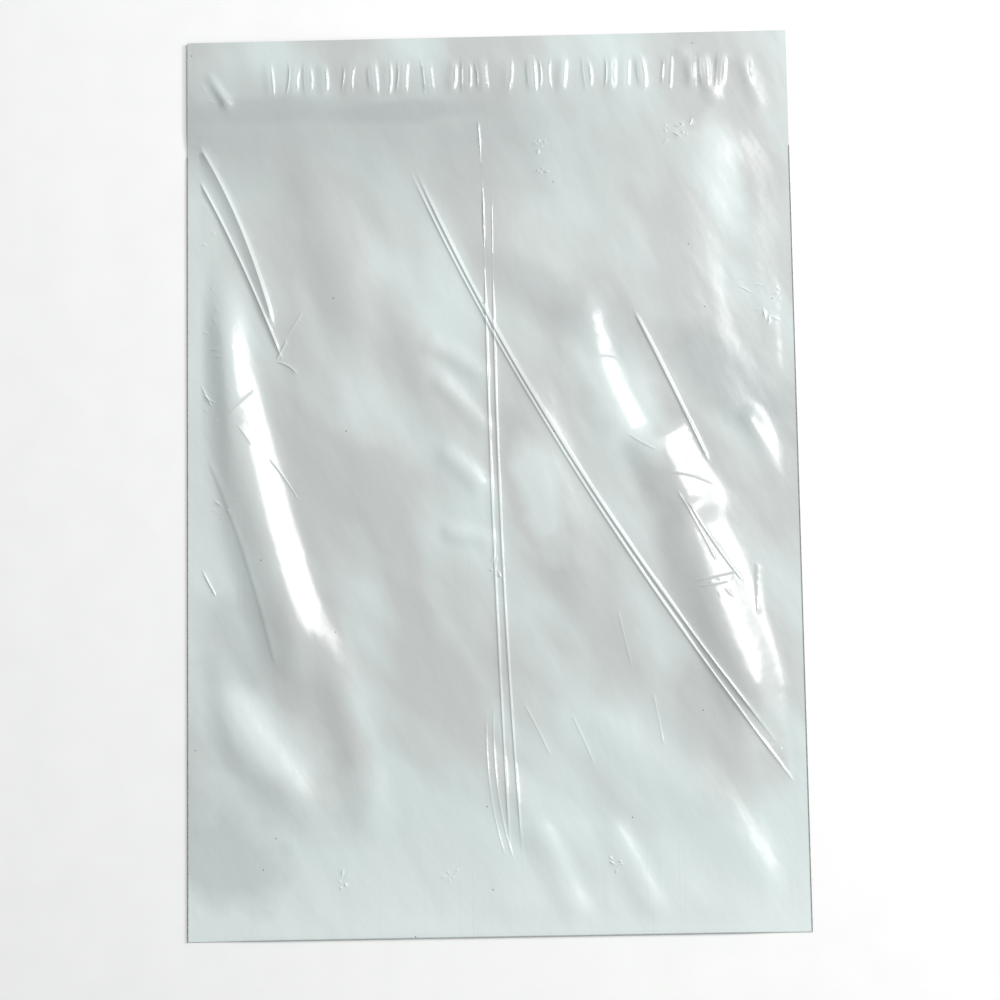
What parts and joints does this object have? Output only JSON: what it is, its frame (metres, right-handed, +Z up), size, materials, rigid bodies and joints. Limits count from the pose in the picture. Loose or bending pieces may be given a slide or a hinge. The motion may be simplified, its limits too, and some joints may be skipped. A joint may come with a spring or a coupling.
{
  "type": "poly mailer bag",
  "caption": "Flat film mailing bag with a bottom fold, welded sides and an open flap that carries a strip of glue under a liner.",
  "frame": {"origin": "middle of the bag's length and width, at the level of the surface it lies on", "axes": "+X across the bag, +Y from the bottom fold to the flap's free edge, +Z up out of the address side"},
  "size_m": [0.254, 0.38, 0.0044],
  "materials": {
    "film": "glossy white film, dark grey on its inner side",
    "glue": "soft tacky hot-melt glue",
    "liner": "smooth release-coated film"
  },
  "bodies": {
    "root": {"mailer_film": "film", "glue_strip": "glue", "release_liner": "liner"}
  },
  "joints": []
}
